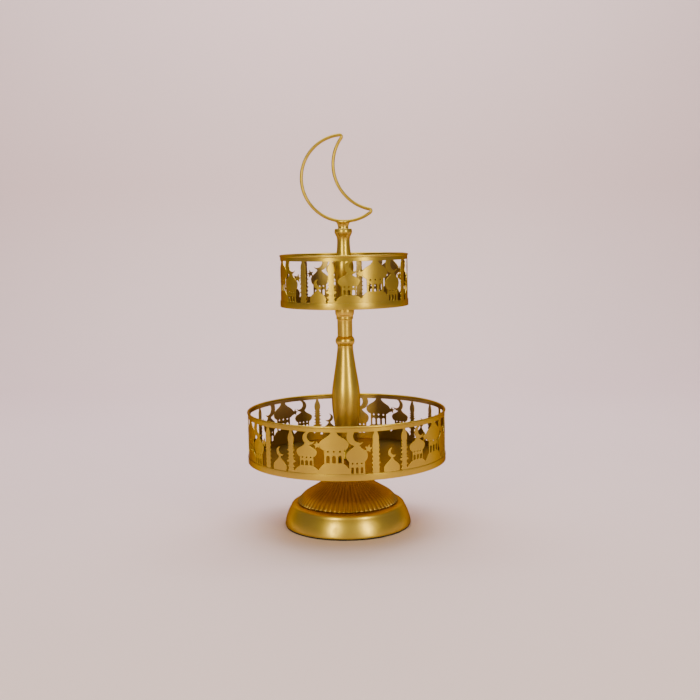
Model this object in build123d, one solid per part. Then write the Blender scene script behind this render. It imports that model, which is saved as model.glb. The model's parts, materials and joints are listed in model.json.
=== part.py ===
from build123d import *
import os
from math import cos, pi, radians, sin

# Two-tier cake stand, millimetres, +Z up, origin at the centre of its underside.

# ---- driving dimensions ----------------------------------------------------------------------
THREAD_R = 2.95           # M6 thread, outside radius
THREAD_PITCH = 1.0
BUSH_BORE_R = 3.0         # threaded bushes, at the thread's outside radius plus a running gap
CLEARANCE_HOLE_R = 3.3    # plain holes that an M6 thread passes
SHEET = 1.0               # spun and pierced sheet
TUBE_WALL = 1.2           # column tubes

FOOT_R = 80.0
FOOT_PAD_H = 1.8
FOOT_SHOULDER_Z = 30.0    # where the fluted cone stands on the ring
CONE_BASE_R = 63.4
FLUTES = 64
FOOT_TOP_Z = 83.9
FOOT_NECK_R = 18.5

LOWER_TRAY_R = 125.0
UPPER_TRAY_R = 80.0
TRAY_H = 64.0             # from the underside of the floor to the top of the rolled edge
LOWER_TRAY_Z = 84.5
UPPER_TRAY_Z = 279.0
FLOOR_T = 1.0
GASKET_T = 0.6
HOOP_H = 7.8              # plain hoop round the floor
HOOP_T = 0.8
RIM_WIRE_R = 1.4
TOP_STRIP_H = 5.6         # plain strip over the pattern, up to the middle of the rolled edge
PATTERN_H = TRAY_H - HOOP_H - TOP_STRIP_H - RIM_WIRE_R

PATTERN_PERIOD = 139.6    # one repeat of the pierced pattern along the strip
LOWER_PHASE = -31.9       # degrees from the front (-Y), anticlockwise from above, of one slim tower
UPPER_PHASE = -11.1
LOWER_SEAM = 81.0         # where the strip's two ends meet
UPPER_SEAM = 180.0
SEAM_MARGIN = 2.2         # plain metal on each side of it
SEAM_GAP = 0.25

COLLAR_Z = 229.0
COLLAR_H = 11.0
COLLAR_R = 12.1
COLUMN_TOP_Z = 374.0
FINIAL_WASHER_T = 0.5
FERRULE_H = 8.7

WIRE_R = 2.0
CRESCENT_R = 52.8         # outer arc of the crescent's wire
CRESCENT_X = 2.2          # its centre, to the side of the column's axis
CRESCENT_Z = 435.9
BITE_R = 55.8             # inner arc of the crescent's wire
BITE_SHIFT = 45.4         # from the outer arc's centre to the inner arc's centre
OPENING_ANGLE = 21.1      # degrees above +X that the crescent faces
TIP_BEND_R = 2.3


# ---- helpers -----------------------------------------------------------------------------------
def turned(*edges):
    """Solid of revolution about Z from a closed outline of edges in (radius, height)."""
    outline = Plane.XZ * make_face(Curve() + list(edges))
    return revolve(outline, Axis.Z)


def turned_polygon(points):
    """Solid of revolution from a polygon of (radius, height) corners."""
    return turned(Polyline(*points, close=True))


def ring(inner_r, outer_r, z0, z1):
    return turned_polygon([(inner_r, z0), (outer_r, z0), (outer_r, z1), (inner_r, z1)])


def disc(outer_r, z0, z1):
    return Pos(0, 0, z0) * extrude(Circle(outer_r), z1 - z0)


def tube_of(profile, wall):
    """Hollow tube whose outside follows a smooth line through (radius, height) points."""
    inner = [(r - wall, z) for r, z in profile]
    (r0, z0), (r1, z1) = profile[0], profile[-1]
    return turned(
        Spline(*profile),
        Line((r1, z1), (r1 - wall, z1)),
        Spline(*reversed(inner)),
        Line((r0 - wall, z0), (r0, z0)),
    )


def threaded_rod(z0, z1):
    """M6 rod with ring-shaped grooves at the thread's pitch, and plain ends."""
    depth = 0.6 * THREAD_PITCH
    turns = int((z1 - z0 - THREAD_PITCH) / THREAD_PITCH)
    points = [(0, z0), (THREAD_R - depth, z0)]
    for turn in range(turns):
        z = z0 + THREAD_PITCH * (turn + 0.5)
        points += [(THREAD_R - depth, z), (THREAD_R, z + THREAD_PITCH / 2)]
    points += [(THREAD_R - depth, z + THREAD_PITCH), (THREAD_R - depth, z1), (0, z1)]
    return turned_polygon(points)


def bush(outer_r, z0, z1):
    """Threaded bush in a column tube, with chamfered mouths."""
    mouth = 0.6
    return turned_polygon([
        (BUSH_BORE_R + mouth, z0), (outer_r - mouth, z0), (outer_r, z0 + mouth),
        (outer_r, z1 - mouth), (outer_r - mouth, z1), (BUSH_BORE_R + mouth, z1),
        (BUSH_BORE_R, z1 - mouth), (BUSH_BORE_R, z0 + mouth),
    ])


# ---- foot ----------------------------------------------------------------------------------------
def foot_pad_ring():
    return ring(FOOT_R - 9, FOOT_R - 0.8, 0, FOOT_PAD_H)


def foot_base_ring():
    """Spun ring: turned-in lower lip, convex side, rounded shoulder and a flat for the cone."""
    lip_r, z0 = FOOT_R - 10, FOOT_PAD_H
    side_top, seat_r = (FOOT_R - 7.5, 24.5), CONE_BASE_R - 4
    t = SHEET
    return turned(
        Line((lip_r, z0), (FOOT_R, z0)),
        ThreePointArc((FOOT_R, z0), (FOOT_R - 3, z0 + 11.5), side_top),
        ThreePointArc(side_top, (FOOT_R - 10, 28.4), (CONE_BASE_R + 1.5, FOOT_SHOULDER_Z)),
        Line((CONE_BASE_R + 1.5, FOOT_SHOULDER_Z), (seat_r, FOOT_SHOULDER_Z)),
        Line((seat_r, FOOT_SHOULDER_Z), (seat_r, FOOT_SHOULDER_Z - t)),
        Line((seat_r, FOOT_SHOULDER_Z - t), (CONE_BASE_R + 1.2, FOOT_SHOULDER_Z - t)),
        ThreePointArc((CONE_BASE_R + 1.2, FOOT_SHOULDER_Z - t), (FOOT_R - 10.6, 27.5),
                      (side_top[0] - t, side_top[1] - 0.3)),
        ThreePointArc((side_top[0] - t, side_top[1] - 0.3), (FOOT_R - 4, z0 + 11.3), (FOOT_R - t, z0 + t)),
        Line((FOOT_R - t, z0 + t), (lip_r, z0 + t)),
        Line((lip_r, z0 + t), (lip_r, z0)),
    )


CONE_PROFILE = [  # mean outside radius and height of the fluted cone, in straight stretches
    (CONE_BASE_R, FOOT_SHOULDER_Z), (63.2, 31.0), (60.9, 33.9), (54.7, 40.4), (45.8, 46.0), (40.2, 49.4),
    (35.0, 53.0), (29.8, 57.6), (25.6, 63.0), (22.4, 69.0), (20.0, 76.0), (FOOT_NECK_R, FOOT_TOP_Z),
]


def scalloped_wire(mean_r, z):
    """Closed outline of one level of the cone: a ring of small outward arcs, one for each rib."""
    depth = 0.0145 * mean_r

    def at(r, step):
        angle = 2 * pi * step / FLUTES
        return (r * cos(angle), r * sin(angle), z)

    arcs = []
    for rib in range(FLUTES):
        arcs.append(ThreePointArc(at(mean_r - depth, rib), at(mean_r + depth, rib + 0.5),
                                  at(mean_r - depth, rib + 1)))
    return Wire(arcs)


def foot_fluted_cone():
    outside = Solid.make_loft([scalloped_wire(r, z) for r, z in CONE_PROFILE], ruled=True)
    wall = SHEET + 0.6
    hollow = [(r - wall, z) for r, z in CONE_PROFILE[1:-1]]
    top = FOOT_TOP_Z - SHEET - 0.4
    inside = turned(
        Line((0, FOOT_SHOULDER_Z), (CONE_BASE_R - wall, FOOT_SHOULDER_Z)),
        Line((CONE_BASE_R - wall, FOOT_SHOULDER_Z), hollow[0]),
        Polyline(*hollow, (FOOT_NECK_R - wall, top)),
        Line((FOOT_NECK_R - wall, top), (0, top)),
        Line((0, top), (0, FOOT_SHOULDER_Z)),
    )
    bolt_hole = disc(CLEARANCE_HOLE_R, FOOT_SHOULDER_Z, FOOT_TOP_Z + 5)
    return outside - inside - bolt_hole


def foot_ballast_plate():
    """Plate that rests on the ring's lower lip, with a hole that a socket spanner passes."""
    z0 = FOOT_PAD_H + SHEET
    return ring(22, FOOT_R - SHEET - 2.0, z0, z0 + 4.5)


def foot_clamp_cup():
    """Pressed cup in the cone's neck that the bolt pulls on."""
    top = FOOT_TOP_Z - SHEET - 0.4
    rim_r = FOOT_NECK_R - SHEET - 1.2
    t = 1.6
    return turned_polygon([
        (CLEARANCE_HOLE_R, top), (rim_r, top), (rim_r, top - 9), (rim_r - t, top - 9),
        (rim_r - t, top - t), (CLEARANCE_HOLE_R, top - t),
    ])


CUP_FACE_Z = FOOT_TOP_Z - SHEET - 0.4 - 1.6
WASHER_T = 1.2
SPRING_WASHER_T = 1.5


def foot_flat_washer():
    return ring(3.2, 6.0, CUP_FACE_Z - WASHER_T, CUP_FACE_Z)


def foot_spring_washer():
    """Split lock washer."""
    z1 = CUP_FACE_Z - WASHER_T
    slit = Pos(4.5, 0, z1) * Rot(25, 0, 0) * Box(5, 0.8, 6)
    return ring(3.1, 5.4, z1 - SPRING_WASHER_T, z1) - slit


def foot_bolt():
    """Hexagon head screw M6 with a chamfered head."""
    seat = CUP_FACE_Z - WASHER_T - SPRING_WASHER_T
    head_h, across_flats = 4.0, 10.0
    head = Pos(0, 0, seat - head_h) * extrude(RegularPolygon(across_flats / 2, 6, major_radius=False), head_h)
    blunt = turned_polygon([
        (0, seat - head_h), (across_flats / 2 - 0.2, seat - head_h),
        (across_flats / 2 + 1, seat - head_h + 0.8), (across_flats / 2 + 1, seat), (0, seat),
    ])
    return (head & blunt) + threaded_rod(seat, seat + 22)


# ---- pierced pattern, drawn flat: x runs along the strip, y is the height over the hoop --------------
def polygon(*points):
    return make_face(Polyline(*points, close=True))


def mirrored_outline(*right_edges):
    """Face from the edges of its right half, which start and end on the y axis."""
    right = Curve() + list(right_edges)
    return make_face(Curve() + list(right.edges()) + list(mirror(right, Plane.YZ).edges()))


def onion(half_base, z0, half_width, z_wide, half_neck, z1):
    """Onion dome: full below, drawn in to a neck by a reversed curve."""
    rise, swell = z1 - z_wide, half_width - half_base
    return mirrored_outline(
        Line((0, z0), (half_base, z0)),
        Bezier((half_base, z0), (half_base + 0.9 * swell, z0 + 0.3 * (z_wide - z0)),
               (half_width, z_wide)),
        Bezier((half_width, z_wide), (half_width, z_wide + 0.5 * rise),
               (half_neck + 0.12 * (half_width - half_neck), z1 - 0.47 * rise), (half_neck, z1)),
        Line((half_neck, z1), (0, z1)),
    )


def crescent(outer_r, bite_r, shift, turn):
    """Flat crescent whose opening faces the direction turn, in degrees from +X."""
    bite = Rot(0, 0, turn) * Pos(shift, 0) * Circle(bite_r)
    return Circle(outer_r) - bite


def star(outer_r):
    """Five-pointed star."""
    points = []
    for i in range(10):
        r = outer_r if i % 2 == 0 else 0.45 * outer_r
        angle = radians(90 + 36 * i)
        points.append((r * cos(angle), r * sin(angle)))
    return polygon(*points)


def mound(half_base, half_top, height):
    """Low rounded hill that a building stands on."""
    return mirrored_outline(
        Line((0, -1), (half_base, -1)),
        Line((half_base, -1), (half_base, 0)),
        Bezier((half_base, 0), (half_base - 0.35 * (half_base - half_top), 0.75 * height),
               (half_top, height)),
        Line((half_top, height), (0, height)),
    )


def block(half_width, z0, z1):
    return Pos(0, (z0 + z1) / 2) * Rectangle(2 * half_width, z1 - z0)


def arched_windows(count, pitch, width, z0, z1):
    """Row of round-headed windows, as one sketch."""
    spring = z1 - width / 2
    one = block(width / 2, z0, spring) + Pos(0, spring) * Circle(width / 2)
    return Sketch() + [Pos((i - (count - 1) / 2) * pitch, 0) * one for i in range(count)]


def dots(count, pitch, diameter, z):
    row = [Pos((i - (count - 1) / 2) * pitch, z) * Circle(diameter / 2) for i in range(count)]
    return Sketch() + row


def slim_tower_with_balconies():
    """Tower with rounded balconies and a pointed head."""
    shaft = block(3.2, -1, 34) + block(3.7, -1, 4)
    rings = [Pos(0, z) * Ellipse(half, height)
             for z, half, height in ((7.4, 5.2, 1.1), (13.4, 6.2, 1.9), (16.6, 5.0, 0.9),
                                     (26.0, 4.6, 1.5), (28.6, 4.3, 0.9))]
    head = onion(2.4, 33.2, 4.2, 39.2, 1.4, PATTERN_H + 1)
    return shaft + rings + head


def slim_tower_plain():
    """Tower with a slender head and light scallops."""
    shaft = block(3.9, -1, 38)
    rings = [Pos(0, z) * Ellipse(4.7, 1.5) for z in (3, 9.5, 16, 22.5, 29)]
    head = onion(3.0, 37.0, 3.9, 41.5, 1.8, PATTERN_H + 1)
    return shaft + rings + head


def mosque_on_mound():
    """Middle-sized building with three windows, an onion dome and a crescent."""
    body = mound(17.3, 8.6, 8.8) + block(8.6, 8.5, 21)
    dome = onion(9.2, 20.0, 13.0, 25.9, 2.5, 35.5)
    moon = Pos(3.2, 41.9) * crescent(8.0, 6.0, 3.9, 24)
    openings = arched_windows(3, 5.5, 3.4, 9.6, 15.6) + dots(3, 5.3, 1.9, 19.2)
    return body + dome + moon - openings


def large_mosque():
    """Large building whose dome meets the top strip."""
    body = mound(20.0, 11.8, 12.4) + block(11.4, 12, 29)
    dome = onion(12.0, 28.0, 17.4, 34.6, 3.4, PATTERN_H + 0.5)
    openings = arched_windows(3, 7.0, 3.9, 13.2, 22.0) + dots(3, 7.0, 2.3, 26.8)
    return body + dome + Pos(0, PATTERN_H) * Rectangle(6.8, 2) - openings


def mosque_with_legs():
    """Middle-sized building on straight walls, with a large leaning crescent."""
    body = block(9.3, -1, 16)
    dome = onion(9.6, 15.0, 12.7, 21.8, 2.8, 35.0)
    moon = Pos(-1.1, 44.3) * crescent(11.0, 7.8, 4.7, 4)
    openings = arched_windows(3, 5.5, 2.8, 0.9, 8.2) + dots(3, 5.3, 1.9, 12.6)
    return body + dome + moon - openings


def small_dome():
    """Small onion dome with a crescent that leans back."""
    dome = onion(8.9, -1, 10.5, 4.2, 1.1, 17.6)
    moon = Pos(0.8, 22.6) * crescent(5.8, 4.8, 3.1, 31)
    return dome + moon


def pattern_cell():
    """Metal of one repeat of the pattern, between the hoop and the top strip."""
    return (
        slim_tower_with_balconies()
        + Pos(20.8, 0) * mosque_on_mound()
        + Pos(34.0, 34.2) * Rot(0, 0, 8) * star(5.0)
        + Pos(53.7, 0) * large_mosque()
        + Pos(80.4, 0) * mosque_with_legs()
        + Pos(93.9, 29.4) * Rot(0, 0, -12) * star(5.4)
        + Pos(102.6, 0) * slim_tower_plain()
        + Pos(122.6, 0) * small_dome()
    )


def cell_openings():
    """Holes of one repeat, from the middle of one slim tower to the middle of the next."""
    field = Pos(PATTERN_PERIOD / 2, PATTERN_H / 2) * Rectangle(PATTERN_PERIOD, PATTERN_H)
    next_tower = Pos(PATTERN_PERIOD, 0) * slim_tower_with_balconies()
    holes = field - pattern_cell() - next_tower
    return [face for face in holes.faces() if face.area > 1.0]


def pierced_band(outer_r, z0, phase, seam, openings):
    """Strip bent to a ring, with the repeat's holes cut through it and a closed butt seam."""
    z_pattern = z0 + HOOP_H
    z_top = z_pattern + PATTERN_H + TOP_STRIP_H
    band = ring(outer_r - SHEET, outer_r, z0 + FLOOR_T, z_top)
    middle_r = outer_r - SHEET / 2
    repeats = int(2 * pi * middle_r / PATTERN_PERIOD) + 2
    strip_start = middle_r * radians(seam - 360 - phase)
    strip = Pos(strip_start + pi * middle_r, PATTERN_H / 2) * Rectangle(
        2 * (pi * middle_r - SEAM_MARGIN), PATTERN_H)
    cutters = []
    for repeat in range(-repeats, repeats + 1):
        for opening in openings:
            piece = (Pos(repeat * PATTERN_PERIOD, 0) * opening) & strip
            for flat in piece.faces() if piece else []:
                box = flat.bounding_box()
                middle = (box.min.X + box.max.X) / 2
                angle = radians(phase) + middle / middle_r
                facing = Plane(origin=(0, 0, z_pattern), x_dir=(cos(angle), sin(angle), 0),
                               z_dir=(sin(angle), -cos(angle), 0))
                place = facing * Pos(-middle, 0, middle_r - 3)
                cutters.append(extrude(place * flat, 6))
    slit = Rot(0, 0, seam - 90) * Pos(outer_r, 0, z_top / 2) * Box(8, SEAM_GAP, 2 * z_top)
    return band - cutters - slit


# ---- trays ---------------------------------------------------------------------------------------
def tray_floor(tray_r, z0):
    return ring(CLEARANCE_HOLE_R, tray_r - HOOP_T - 0.02, z0, z0 + FLOOR_T)


def tray_base_hoop(tray_r, z0):
    return ring(tray_r - HOOP_T, tray_r, z0, z0 + HOOP_H)


def tray_rim(tray_r, z0):
    """Rolled edge: a round wire with a slot that sits over the top of the band."""
    z_mid = z0 + TRAY_H - RIM_WIRE_R
    band_r = tray_r - HOOP_T
    wire = Pos(band_r - SHEET / 2, z_mid) * Circle(RIM_WIRE_R)
    slot = Pos(band_r - SHEET / 2, z_mid - RIM_WIRE_R) * Rectangle(SHEET, 2 * RIM_WIRE_R)
    return revolve(Plane.XZ * (wire - slot), Axis.Z)


def gasket(z0):
    return ring(CLEARANCE_HOLE_R, 11.0, z0, z0 + GASKET_T)


# ---- columns ---------------------------------------------------------------------------------------
VASE_Z = LOWER_TRAY_Z + FLOOR_T + GASKET_T
NECK_Z = COLLAR_Z + COLLAR_H
NECK_TOP_Z = UPPER_TRAY_Z - GASKET_T
TOP_COLUMN_Z = UPPER_TRAY_Z + FLOOR_T + GASKET_T
BUSH_H = 13.0


def vase_column():
    profile = [(14.0, VASE_Z), (13.4, VASE_Z + 5), (12.6, VASE_Z + 14), (14.3, 121), (17.2, 144),
               (18.0, 158), (17.1, 175), (12.8, 203), (10.2, 222), (9.9, COLLAR_Z)]
    return tube_of(profile, TUBE_WALL)


def column_collar():
    """Turned bead between the vase column and the neck column."""
    z0, z1 = COLLAR_Z, NECK_Z
    return turned(
        Line((CLEARANCE_HOLE_R, z0), (10.2, z0)),
        ThreePointArc((10.2, z0), (COLLAR_R, (z0 + z1) / 2), (10.0, z1)),
        Line((10.0, z1), (CLEARANCE_HOLE_R, z1)),
        Line((CLEARANCE_HOLE_R, z1), (CLEARANCE_HOLE_R, z0)),
    )


def neck_column():
    """Straight tube with a raised ring and a flared bead under the upper tray."""
    z0, z1 = NECK_Z, NECK_TOP_Z
    r, ring_r, bead_r = 9.4, 10.5, 12.0
    ring_z0, ring_z1, bead_z = z1 - 16.4, z1 - 13.8, z1 - 11.2
    return turned(
        Line((r, z0), (r, ring_z0 - 1.6)),
        ThreePointArc((r, ring_z0 - 1.6), (r + 0.3, ring_z0 - 0.6), (ring_r, ring_z0)),
        Line((ring_r, ring_z0), (ring_r, ring_z1)),
        ThreePointArc((ring_r, ring_z1), (ring_r + 0.25, bead_z - 1.0), (bead_r - 0.6, bead_z)),
        ThreePointArc((bead_r - 0.6, bead_z), (bead_r, z1 - 6.0), (bead_r - 0.8, z1)),
        Line((bead_r - 0.8, z1), (r - TUBE_WALL, z1)),
        Line((r - TUBE_WALL, z1), (r - TUBE_WALL, z0)),
        Line((r - TUBE_WALL, z0), (r, z0)),
    )


def top_column():
    """Baluster with a small bulge, a slim neck and a bead at the top."""
    z0, z1 = TOP_COLUMN_Z, COLUMN_TOP_Z
    body = [(10.6, z0), (9.4, z0 + 5), (8.6, z0 + 16), (10.4, z0 + 32), (12.3, 326), (11.0, 335),
            (9.3, 342), (8.3, 350), (7.9, 358), (8.3, 363), (9.8, 366.8)]
    inner = [(r - TUBE_WALL, z) for r, z in body[:-2]]
    bore_r = inner[-1][0]
    return turned(
        Spline(*body),
        ThreePointArc(body[-1], (11.0, 370.4), (10.2, z1)),
        Line((10.2, z1), (bore_r, z1)),
        Line((bore_r, z1), inner[-1]),
        Spline(*reversed(inner)),
        Line(inner[0], (10.6, z0)),
    )


# ---- finial ----------------------------------------------------------------------------------------
FERRULE_Z = COLUMN_TOP_Z + FINIAL_WASHER_T


def finial_washer():
    return ring(BUSH_BORE_R + 0.25, 7.2, COLUMN_TOP_Z, FERRULE_Z)


def finial_ferrule():
    """Flared socket with a groove across its top that the wire is brazed into."""
    z0, z1 = FERRULE_Z, FERRULE_Z + FERRULE_H
    body = turned(
        Line((THREAD_R, z0), (6.6, z0)),
        ThreePointArc((6.6, z0), (7.3, z0 + 5.0), (9.2, z1 - 0.8)),
        Line((9.2, z1 - 0.8), (8.7, z1)),
        Line((8.7, z1), (0, z1)),
        Line((0, z1), (0, z0 + 4.2)),
        Line((0, z0 + 4.2), (THREAD_R, z0 + 4.2)),
        Line((THREAD_R, z0 + 4.2), (THREAD_R, z0)),
    )
    return body - Pos(CRESCENT_X, 0, CRESCENT_Z) * Rot(90, 0, 0) * Torus(CRESCENT_R, WIRE_R)


def finial_stud():
    return threaded_rod(FERRULE_Z - 15, FERRULE_Z + 4.2)


def crescent_wire():
    """Closed crescent in the XZ plane: a disc's outline less a bite, with both tips bent round."""
    bite = Rot(0, 0, OPENING_ANGLE) * Pos(BITE_SHIFT, 0) * Circle(BITE_R)
    blank = fillet((Circle(CRESCENT_R) - bite).vertices(), TIP_BEND_R)
    path = (Plane.XZ * Pos(CRESCENT_X, CRESCENT_Z) * blank).face().outer_wire()
    section = Plane(origin=path @ 0, z_dir=path % 0) * Circle(WIRE_R)
    return sweep(section, path=path)


# ---- all sub-parts -----------------------------------------------------------------------------------
def build_parts():
    parts = {
        "foot_pad_ring": foot_pad_ring(),
        "foot_base_ring": foot_base_ring(),
        "foot_fluted_cone": foot_fluted_cone(),
        "foot_ballast_plate": foot_ballast_plate(),
        "foot_clamp_cup": foot_clamp_cup(),
        "foot_flat_washer": foot_flat_washer(),
        "foot_spring_washer": foot_spring_washer(),
        "foot_bolt": foot_bolt(),
        "vase_column": vase_column(),
        "vase_bottom_insert": bush(11.2, VASE_Z, VASE_Z + BUSH_H),
        "vase_top_insert": bush(8.6, COLLAR_Z - BUSH_H, COLLAR_Z),
        "column_stud": threaded_rod(COLLAR_Z - 11, NECK_Z + 11),
        "column_collar": column_collar(),
        "neck_column": neck_column(),
        "neck_bottom_insert": bush(8.2, NECK_Z, NECK_Z + BUSH_H),
        "neck_top_insert": bush(8.2, NECK_TOP_Z - BUSH_H, NECK_TOP_Z),
        "upper_tray_stud": threaded_rod(NECK_TOP_Z - 11, TOP_COLUMN_Z + 11),
        "top_column": top_column(),
        "top_column_bottom_insert": bush(7.3, TOP_COLUMN_Z, TOP_COLUMN_Z + BUSH_H),
        "top_column_top_insert": bush(6.6, COLUMN_TOP_Z - 16, COLUMN_TOP_Z),
        "finial_washer": finial_washer(),
        "finial_ferrule": finial_ferrule(),
        "finial_stud": finial_stud(),
        "crescent_wire": crescent_wire(),
    }
    openings = cell_openings()
    trays = {
        "lower": (LOWER_TRAY_R, LOWER_TRAY_Z, LOWER_PHASE, LOWER_SEAM),
        "upper": (UPPER_TRAY_R, UPPER_TRAY_Z, UPPER_PHASE, UPPER_SEAM),
    }
    for name, (tray_r, z0, phase, seam) in trays.items():
        parts[f"{name}_tray_gasket"] = gasket(z0 - GASKET_T)
        parts[f"{name}_tray_top_gasket"] = gasket(z0 + FLOOR_T)
        parts[f"{name}_tray_floor"] = tray_floor(tray_r, z0)
        parts[f"{name}_tray_base_hoop"] = tray_base_hoop(tray_r, z0)
        parts[f"{name}_tray_band"] = pierced_band(tray_r - HOOP_T, z0, phase, seam, openings)
        parts[f"{name}_tray_rim"] = tray_rim(tray_r, z0)
    return parts


os.makedirs("parts", exist_ok=True)
for node, shape in build_parts().items():
    export_step(shape, f"parts/{node}.step")
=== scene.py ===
"""Two-tier cake stand in satin gold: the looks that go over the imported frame.

Lengths are in metres, except in the flat pattern and the turned profiles, which are drawn in
millimetres and scaled once, where their meshes are made.
"""

import json
from math import acos, atan2, ceil, cos, hypot, pi, radians, sin, tan

import bmesh
import bpy
from mathutils import Matrix, Vector
from mathutils.geometry import delaunay_2d_cdt
from mathutils.kdtree import KDTree


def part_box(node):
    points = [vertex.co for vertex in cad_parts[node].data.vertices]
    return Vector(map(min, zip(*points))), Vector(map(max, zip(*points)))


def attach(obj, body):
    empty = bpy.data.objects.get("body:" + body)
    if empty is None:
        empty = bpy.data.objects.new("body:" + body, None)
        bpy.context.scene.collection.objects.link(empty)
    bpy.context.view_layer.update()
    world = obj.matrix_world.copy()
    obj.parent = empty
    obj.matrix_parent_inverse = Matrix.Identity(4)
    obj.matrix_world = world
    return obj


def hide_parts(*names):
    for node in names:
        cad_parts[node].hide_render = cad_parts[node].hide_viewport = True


bl_info = {
    "name": "Tiered cake stand",
    "version": (1, 0, 0),
    "blender": (4, 5, 0),
    "location": "View3D > Sidebar > Cake stand",
    "description": "Builds the visible pieces and finishes of a two-tier cake stand",
    "category": "Add Mesh",
}

MM = 0.001

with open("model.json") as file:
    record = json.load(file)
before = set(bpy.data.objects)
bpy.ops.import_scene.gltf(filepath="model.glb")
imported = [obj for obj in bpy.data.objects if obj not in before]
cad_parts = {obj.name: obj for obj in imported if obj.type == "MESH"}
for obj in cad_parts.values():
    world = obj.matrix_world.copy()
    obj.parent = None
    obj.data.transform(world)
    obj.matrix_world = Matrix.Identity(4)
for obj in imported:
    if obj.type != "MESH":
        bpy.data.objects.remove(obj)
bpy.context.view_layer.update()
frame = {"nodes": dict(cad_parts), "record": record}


def top_of(node):
    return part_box(node)[1].z


def foot_of(node):
    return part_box(node)[0].z


def radius_of(node):
    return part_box(node)[1].x


# ---- settings ----
def length(name, description, default):
    return bpy.props.FloatProperty(
        name=name, description=description, default=default, unit="LENGTH", subtype="DISTANCE")


def angle(name, description, degrees):
    return bpy.props.FloatProperty(
        name=name, description=description, default=radians(degrees), subtype="ANGLE")


def share(name, description, default):
    return bpy.props.FloatProperty(
        name=name, description=description, default=default, min=0.0, max=1.0, subtype="FACTOR")


def power(name, description, default):
    return bpy.props.FloatProperty(
        name=name, description=description, default=default, min=0.0, subtype="POWER")


def colour(name, description, default):
    return bpy.props.FloatVectorProperty(
        name=name, description=description, default=default, size=3, min=0.0, max=1.0, subtype="COLOR")


class CakeStandSizes(bpy.types.PropertyGroup):
    """Sizes of the stand's pieces. What the frame holds is read from it."""

    foot_radius: length("Foot radius", "Outside radius of the foot's ring", radius_of("foot_base_ring"))
    flutes: bpy.props.IntProperty(
        name="Flutes", description="Ribs round the foot's cone", default=64, min=12)
    flute_depth: share("Flute depth", "Height of a rib as a share of the cone's radius there", 0.0145)
    sheet: length("Sheet", "Thickness of the pierced and spun sheet", 0.001)
    hoop_height: length("Hoop height", "Height of the plain hoop round each tray's floor",
                        top_of("lower_tray_base_hoop") - foot_of("lower_tray_base_hoop"))
    hoop_sheet: length("Hoop sheet", "Thickness of the plain hoop",
                       radius_of("lower_tray_base_hoop") - radius_of("lower_tray_band"))
    rim_wire: length("Rolled edge", "Radius of the rolled edge along a tray's top", 0.0014)
    edge_round: length("Edge round", "Rounding of cut edges", 0.00018)
    pattern_height: length("Pattern height", "Height of the pierced part of the gallery", 0.0492)
    pattern_repeat: length("Pattern repeat", "Length of one repeat of the pierced pattern", 0.1396)
    lower_phase: angle("Lower tray pattern angle", "Where one slim tower stands, from the front", -31.9)
    upper_phase: angle("Upper tray pattern angle", "Where one slim tower stands, from the front", -11.1)
    lower_seam: angle("Lower tray seam", "Where the strip's two ends meet, from the front", 81.0)
    upper_seam: angle("Upper tray seam", "Where the strip's two ends meet, from the front", 180.0)
    wire_radius: length("Crescent wire", "Radius of the crescent's wire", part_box("crescent_wire")[1].y)
    crescent_radius: length("Crescent radius", "Radius of the crescent's outer arc", 0.0528)
    bite_radius: length("Bite radius", "Radius of the crescent's inner arc", 0.0558)
    bite_shift: length("Bite shift", "Distance between the centres of the two arcs", 0.0454)
    opening_angle: angle("Crescent tilt", "Angle above level that the crescent faces", 21.1)
    tip_bend: length("Tip bend", "Radius of the wire's bend at each tip", 0.0023)


class CakeStandFinish(bpy.types.PropertyGroup):
    """Colours of the stand's finishes."""

    gold: colour("Gold", "Plating where it is clean", (0.66, 0.450, 0.062))
    # A darker copy of the gold: painted shade for the trays' sheet and the crescent's wire.
    shaded_sheet_gold: colour("Sheet gold", "Plating on the trays' sheet and on the crescent's wire",
                       (0.52, 0.355, 0.046))
    # Deep gold serves both the dulled plating and the painted shade in the flutes, inside the trays and
    # on the tray floors.
    dull_and_shaded_gold: colour("Deep gold", "Plating where it has dulled, and in the flutes", (0.32, 0.222, 0.100))
    edge_gold: colour("Edge gold", "Tint of the plating where it turns away", (0.22, 0.155, 0.075))
    satin: share("Satin", "Roughness of the plating", 0.31)
    steel: colour("Steel", "Zinc-plated screws, washers and the ballast plate", (0.52, 0.53, 0.54))
    dull_steel: colour("Dull steel", "Zinc where it has been handled", (0.30, 0.30, 0.29))
    bush: colour("Bush brass", "Machined bushes inside the columns", (0.72, 0.50, 0.20))
    dull_bush: colour("Dull brass", "Brass where it has tarnished", (0.42, 0.27, 0.09))
    # The rubber's black also stands in for the contact shadow along the foot's bottom edge.
    rubber: colour("Rubber", "Anti-slip ring under the foot", (0.018, 0.017, 0.016))
    dust: colour("Dust", "Dust on the rubber", (0.10, 0.095, 0.09))
    nylon: colour("Nylon", "Thin washers between the pieces", (0.62, 0.60, 0.54))
    dull_nylon: colour("Dull nylon", "Nylon where it is mottled", (0.44, 0.42, 0.36))


class CakeStandStage(bpy.types.PropertyGroup):
    """Camera and studio round the stand."""

    camera_distance: length("Camera distance", "Level distance from the column to the camera", 1.3107)
    camera_height: length("Camera height", "Height of the camera over the table", 0.3735)
    camera_down: angle("Camera pitch", "How far the camera looks down", 6.57)
    camera_roll: angle("Camera roll", "Lean of the camera about its own axis", -0.94)
    camera_turn: angle("Camera turn", "How far the camera turns to the right", 0.26)
    lens: bpy.props.FloatProperty(
        name="Lens", description="Focal length in millimetres for a 36 mm sensor",
        default=54.02, min=10.0)
    floor: colour("Floor", "Table and backdrop", (0.86, 0.665, 0.69))
    air: colour("Air", "Light of the room", (0.84, 0.75, 0.77))
    air_strength: share("Air strength", "Strength of the room's light", 0.34)
    key: power("Key lights", "Power of the two tall lights in front", 12.0)
    front: power("Front light", "Power of the broad light behind the camera", 3.0)
    fill: power("Fill lights", "Power of the broad lights overhead and on the backdrop", 30.0)


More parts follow.
